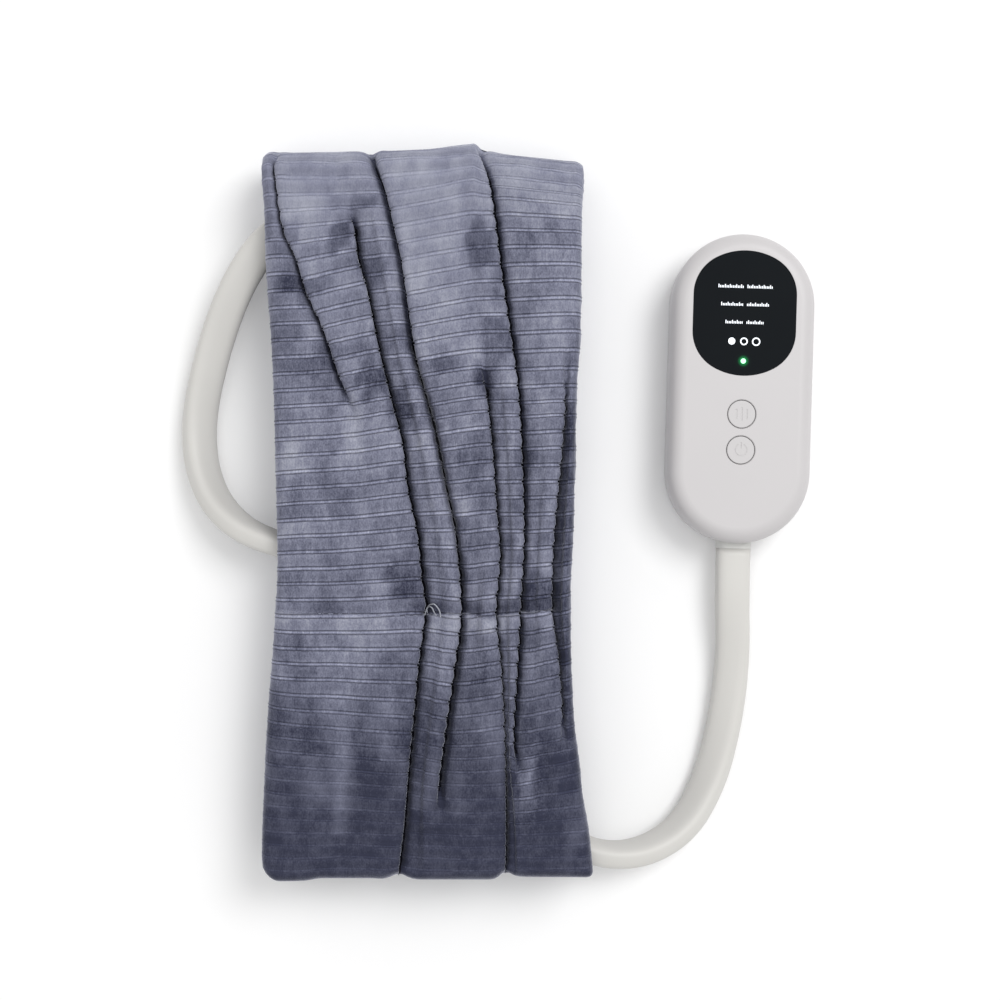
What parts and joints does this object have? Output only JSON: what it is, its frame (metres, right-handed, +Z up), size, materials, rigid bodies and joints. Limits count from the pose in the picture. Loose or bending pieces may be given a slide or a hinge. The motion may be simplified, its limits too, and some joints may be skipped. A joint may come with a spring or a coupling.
{
  "type": "heated massage blanket",
  "caption": "Small ribbed velvet heating and air massage blanket, folded once and lying flat, with a flat hose to a pill-shaped hand controller.",
  "frame": {"origin": "centre of the flat resting face under the folded blanket", "axes": "+Y towards the fold, +X towards the side with the handset, +Z up from the surface it lies on"},
  "size_m": [0.2937, 0.3382, 0.0454],
  "materials": {
    "velvet": "matt",
    "lining_cloth": "matt",
    "binding_tape": "matt",
    "reflector_film": "metallised",
    "wadding": "matt",
    "bladder_film": "satin",
    "heater_cloth": "matt",
    "heating_wire": "satin",
    "fleece": "matt",
    "lead_insulation": "satin",
    "clear_tube": "satin",
    "hook_and_loop": "matt",
    "thread": "matt",
    "sensor_body": "satin",
    "valve_plastic": "satin",
    "hose_skin": "satin",
    "boot_rubber": "satin",
    "handset_plastic": "satin",
    "display_window": "polished",
    "display_panel": "polished",
    "display_print": "matt",
    "light_pipe": "polished",
    "button_plastic": "satin",
    "keypad_rubber": "matt",
    "circuit_board": "satin",
    "chip_plastic": "matt",
    "socket_steel": "satin",
    "battery_wrap": "satin",
    "foam": "matt",
    "pump_metal": "satin",
    "damper_rubber": "matt",
    "screw_steel": "satin",
    "foot_rubber": "matt"
  },
  "bodies": {
    "lower_leaf": {"lower_cover": "velvet", "lower_lining": "lining_cloth", "lower_edge_binding": "binding_tape", "lower_heat_reflector": "reflector_film", "lower_wadding": "wadding", "lower_air_bladder": "bladder_film", "lower_heater_carrier": "heater_cloth", "lower_heating_wire": "heating_wire", "lower_comfort_fleece": "fleece", "hook_strip": "hook_and_loop", "thermal_cutout": "sensor_body", "thermistor": "sensor_body", "air_manifold": "valve_plastic", "lead_harness": "lead_insulation", "hose": "hose_skin", "hose_boot": "boot_rubber", "hose_collar": "boot_rubber", "handset_front_shell": "handset_plastic", "handset_rear_shell": "handset_plastic", "display_lens": "display_window", "display_module": "display_panel", "display_legend": "display_print", "status_light_pipe": "light_pipe", "button_keypad": "keypad_rubber", "main_board": "circuit_board", "board_chips": "chip_plastic", "buzzer": "chip_plastic", "charge_socket": "socket_steel", "battery_pack": "battery_wrap", "battery_foam": "foam", "air_pump": "pump_metal", "pump_damper": "damper_rubber", "release_valve": "valve_plastic", "handset_air_tube": "clear_tube", "handset_screws": "screw_steel", "handset_feet": "foot_rubber"},
    "fold_band": {"fold_cover": "velvet", "fold_lining": "lining_cloth", "fold_wadding": "wadding", "fold_leads": "lead_insulation", "fold_air_tube": "clear_tube"},
    "upper_leaf": {"upper_cover": "velvet", "upper_lining": "lining_cloth", "upper_edge_binding": "binding_tape", "upper_heat_reflector": "reflector_film", "upper_wadding": "wadding", "upper_air_bladder": "bladder_film", "upper_heater_carrier": "heater_cloth", "upper_heating_wire": "heating_wire", "upper_comfort_fleece": "fleece", "loop_strip": "hook_and_loop", "pleat_stitching": "thread"},
    "mode_button": {"mode_button": "button_plastic"},
    "power_button": {"power_button": "button_plastic"}
  },
  "joints": [
    {"name": "fold_lower", "type": "hinge", "parent": "lower_leaf", "child": "fold_band", "pos_m": [0, 0.1615, 0.007], "axis": [-1, 0, 0], "range_deg": [0, 90]},
    {"name": "fold_upper", "type": "hinge", "parent": "fold_band", "child": "upper_leaf", "pos_m": [0, 0.1615, 0.038], "axis": [-1, 0, 0], "range_deg": [0, 90]},
    {"name": "mode_press", "type": "slide", "parent": "lower_leaf", "child": "mode_button", "axis": [0, 0, -1], "range_m": [0, 0.0008], "stiffness_N_per_m": 1500, "springref_m": -0.0003},
    {"name": "power_press", "type": "slide", "parent": "lower_leaf", "child": "power_button", "axis": [0, 0, -1], "range_m": [0, 0.0008], "stiffness_N_per_m": 1500, "springref_m": -0.0003}
  ],
  "couplings": [
    {"joint": "fold_upper", "follows": "fold_lower", "ratio": 1}
  ]
}
